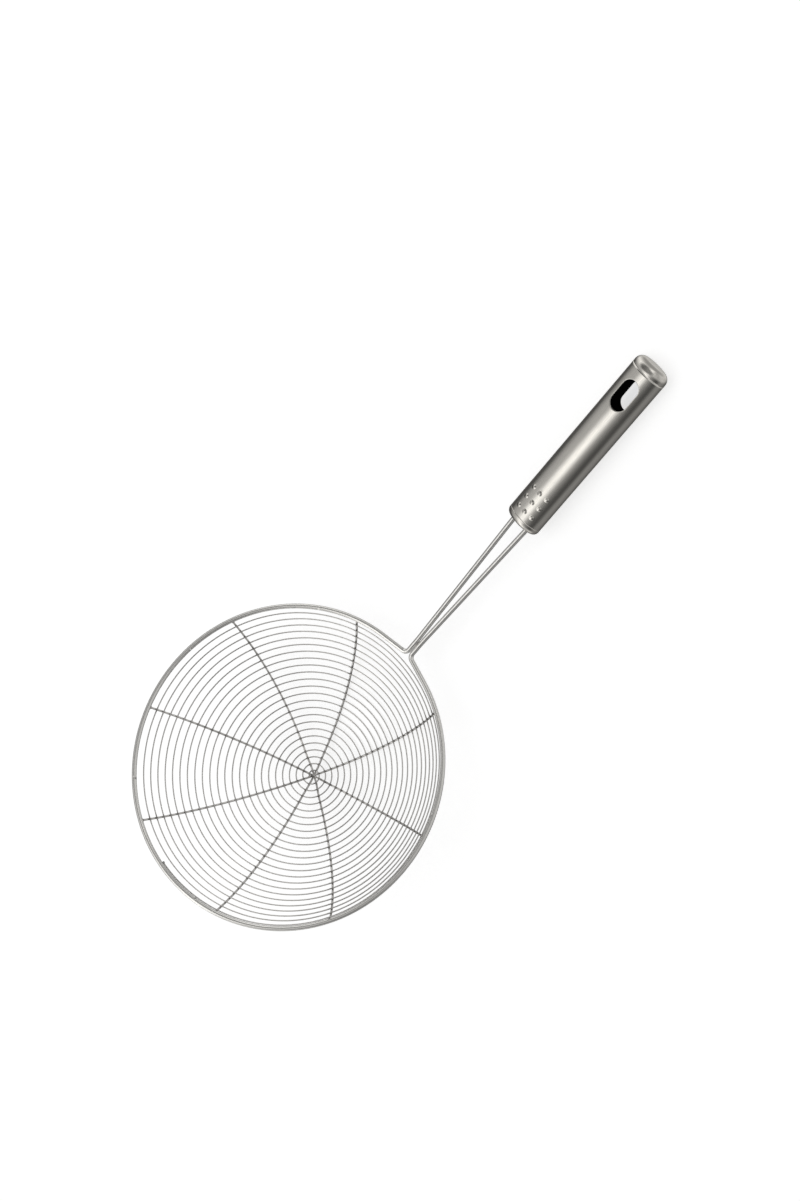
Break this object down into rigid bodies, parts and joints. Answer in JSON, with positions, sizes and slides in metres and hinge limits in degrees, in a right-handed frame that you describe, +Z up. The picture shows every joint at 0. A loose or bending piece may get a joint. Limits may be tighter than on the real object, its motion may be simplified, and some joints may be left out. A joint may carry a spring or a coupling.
{
  "type": "spider skimmer",
  "caption": "Round wire skimmer with a spiral wire bowl, crossing ribs, a two-leg neck and a hollow oval handle with a hanging slot.",
  "frame": {"origin": "on the table, under the middle of the whole skimmer as it lies at rest", "axes": "+X from the bowl to the tail of the handle, +Y across the bowl, +Z up from the table"},
  "size_m": [0.4136, 0.2, 0.107],
  "materials": {
    "frame_steel": "drawn wire, polished",
    "mesh_steel": "thin drawn wire, polished",
    "handle_steel": "satin",
    "weld_steel": "cleaned weld metal"
  },
  "bodies": {
    "root": {"frame_wire": "frame_steel", "spiral_wire": "mesh_steel", "rib_wire_1": "mesh_steel", "rib_wire_2": "mesh_steel", "rib_wire_3": "mesh_steel", "rib_wire_4": "mesh_steel", "rib_weld_1": "weld_steel", "rib_weld_2": "weld_steel", "rib_weld_3": "weld_steel", "rib_weld_4": "weld_steel", "rib_weld_5": "weld_steel", "rib_weld_6": "weld_steel", "rib_weld_7": "weld_steel", "rib_weld_8": "weld_steel", "spiral_inner_weld": "weld_steel", "spiral_outer_weld": "weld_steel", "neck_weld": "weld_steel", "leg_weld_left": "weld_steel", "leg_weld_right": "weld_steel", "handle_tube": "handle_steel", "handle_front_cap": "handle_steel", "handle_tail_cap": "handle_steel"}
  },
  "joints": []
}
